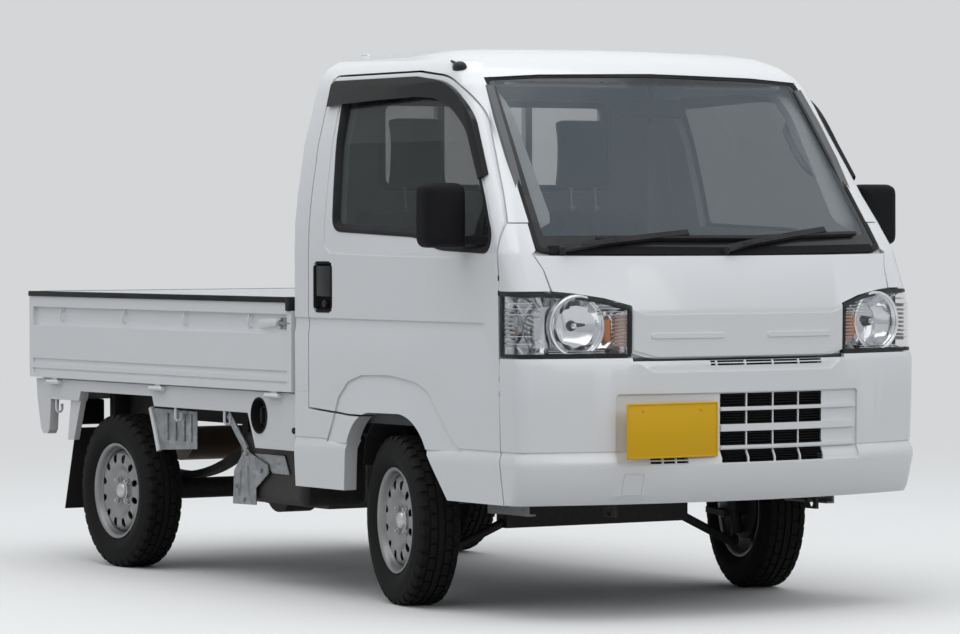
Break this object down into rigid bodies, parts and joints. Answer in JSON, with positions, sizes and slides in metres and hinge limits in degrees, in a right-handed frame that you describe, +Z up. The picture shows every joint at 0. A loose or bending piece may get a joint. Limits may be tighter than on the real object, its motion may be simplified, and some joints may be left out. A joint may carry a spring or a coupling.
{
  "type": "kei truck",
  "caption": "Small cab-over pickup truck with a two-seat steel cab, a flat drop-sided load bed and steel wheels.",
  "frame": {"origin": "on the ground under the middle of the truck's length and width", "axes": "+X forwards, +Y to the truck's left, +Z up"},
  "size_m": [3.3948, 1.77, 1.7353],
  "materials": {
    "body_paint": "gloss white paint",
    "chassis_black": "satin black underbody paint",
    "cast_grey": "rough casting",
    "exhaust_steel": "dull steel",
    "window_glass": "clear glass",
    "lamp_silver": "bright reflector",
    "lamp_red": "red and amber lens",
    "black_plastic": "grained black",
    "cabin_plastic": "grained dark grey",
    "seat_fabric": "black vinyl and cloth",
    "plate_yellow": "blank yellow plate",
    "wheel_silver": "silver painted steel",
    "tyre": "rubber"
  },
  "bodies": {
    "truck": {"bed_cross_members": "chassis_black", "bed_floor": "body_paint", "bed_side_rails": "body_paint", "bumper_beam": "chassis_black", "cab_back": "body_paint", "cab_floor": "body_paint", "cab_front": "body_paint", "cab_roof": "body_paint", "cab_sides": "body_paint", "dashboard": "cabin_plastic", "door_hinges": "chassis_black", "driver_seat": "seat_fabric", "engine_block": "cast_grey", "exhaust": "exhaust_steel", "fender_corners": "body_paint", "frame_rails": "chassis_black", "front_bumper": "body_paint", "front_cross_member": "chassis_black", "front_panel": "body_paint", "fuel_tank": "chassis_black", "gate_hinges": "chassis_black", "headboard": "body_paint", "headlamp_lenses": "window_glass", "headlamps": "lamp_silver", "leaf_springs": "chassis_black", "mud_flaps": "black_plastic", "number_plate": "plate_yellow", "passenger_seat": "seat_fabric", "rear_axle": "chassis_black", "rear_sill": "body_paint", "rear_window": "window_glass", "steering_column": "cabin_plastic", "tail_lamps": "lamp_red", "windshield": "window_glass", "wipers": "black_plastic"},
    "door_right_body": {"door_right": "body_paint", "door_glass_right": "window_glass", "mirror_right": "black_plastic", "rain_visor_right": "black_plastic"},
    "side_gate_right_body": {"side_gate_right": "body_paint"},
    "knuckle_right_body": {"knuckle_right": "chassis_black"},
    "front_wheel_right": {"tyre_front_right": "tyre", "wheel_front_right": "wheel_silver"},
    "rear_wheel_right": {"tyre_rear_right": "tyre", "wheel_rear_right": "wheel_silver"},
    "door_left_body": {"door_left": "body_paint", "door_glass_left": "window_glass", "mirror_left": "black_plastic", "rain_visor_left": "black_plastic"},
    "side_gate_left_body": {"side_gate_left": "body_paint"},
    "knuckle_left_body": {"knuckle_left": "chassis_black"},
    "front_wheel_left": {"tyre_front_left": "tyre", "wheel_front_left": "wheel_silver"},
    "rear_wheel_left": {"tyre_rear_left": "tyre", "wheel_rear_left": "wheel_silver"},
    "tail_gate_body": {"tail_gate": "body_paint"},
    "steering_wheel_body": {"steering_wheel": "cabin_plastic"}
  },
  "joints": [
    {"name": "steering_wheel_turn", "type": "hinge", "parent": "truck", "child": "steering_wheel_body", "pos_m": [1.0575, -0.33, 1.098], "axis": [-0.6691, 0, 0.7431], "range_deg": [-372.8, 747.2]},
    {"name": "steer_right", "type": "hinge", "parent": "truck", "child": "knuckle_right_body", "pos_m": [0.8075, -0.585, 0.178], "axis": [0, 0.1957, 0.9807], "range_deg": [-23.5, 46.9]},
    {"name": "front_wheel_right_spin", "type": "hinge", "parent": "knuckle_right_body", "child": "front_wheel_right", "pos_m": [0.79216, -0.64346, 0.26369], "axis": [0.1989, 0.98, 0.004], "continuous": true},
    {"name": "rear_wheel_right_spin", "type": "hinge", "parent": "truck", "child": "rear_wheel_right", "pos_m": [-1.0925, -0.645, 0.264], "axis": [0, 1, 0], "continuous": true},
    {"name": "door_right_swing", "type": "hinge", "parent": "truck", "child": "door_right_body", "pos_m": [1.44125, -0.7322, 0.7], "axis": [-0.019, 0, 0.9998], "range_deg": [0, 65]},
    {"name": "side_gate_right_drop", "type": "hinge", "parent": "truck", "child": "side_gate_right_body", "pos_m": [-0.6925, -0.7355, 0.63], "axis": [1, 0, 0], "range_deg": [0, 175]},
    {"name": "steer_left", "type": "hinge", "parent": "truck", "child": "knuckle_left_body", "pos_m": [0.8075, 0.585, 0.178], "axis": [0, -0.1957, 0.9807], "range_deg": [-23.5, 46.9]},
    {"name": "front_wheel_left_spin", "type": "hinge", "parent": "knuckle_left_body", "child": "front_wheel_left", "pos_m": [0.82284, 0.64346, 0.26369], "axis": [0.1989, 0.98, -0.004], "continuous": true},
    {"name": "rear_wheel_left_spin", "type": "hinge", "parent": "truck", "child": "rear_wheel_left", "pos_m": [-1.0925, 0.645, 0.264], "axis": [0, 1, 0], "continuous": true},
    {"name": "door_left_swing", "type": "hinge", "parent": "truck", "child": "door_left_body", "pos_m": [1.44125, 0.7322, 0.7], "axis": [0.019, 0, -0.9998], "range_deg": [0, 65]},
    {"name": "side_gate_left_drop", "type": "hinge", "parent": "truck", "child": "side_gate_left_body", "pos_m": [-0.6925, 0.7355, 0.63], "axis": [-1, 0, 0], "range_deg": [0, 175]},
    {"name": "tail_gate_drop", "type": "hinge", "parent": "truck", "child": "tail_gate_body", "pos_m": [-1.6895, 0, 0.63], "axis": [0, -1, 0], "range_deg": [0, 175]}
  ],
  "couplings": [
    {"joint": "steer_right", "follows": "steering_wheel_turn", "ratio": 0.0625},
    {"joint": "steer_left", "follows": "steering_wheel_turn", "ratio": 0.0625}
  ]
}
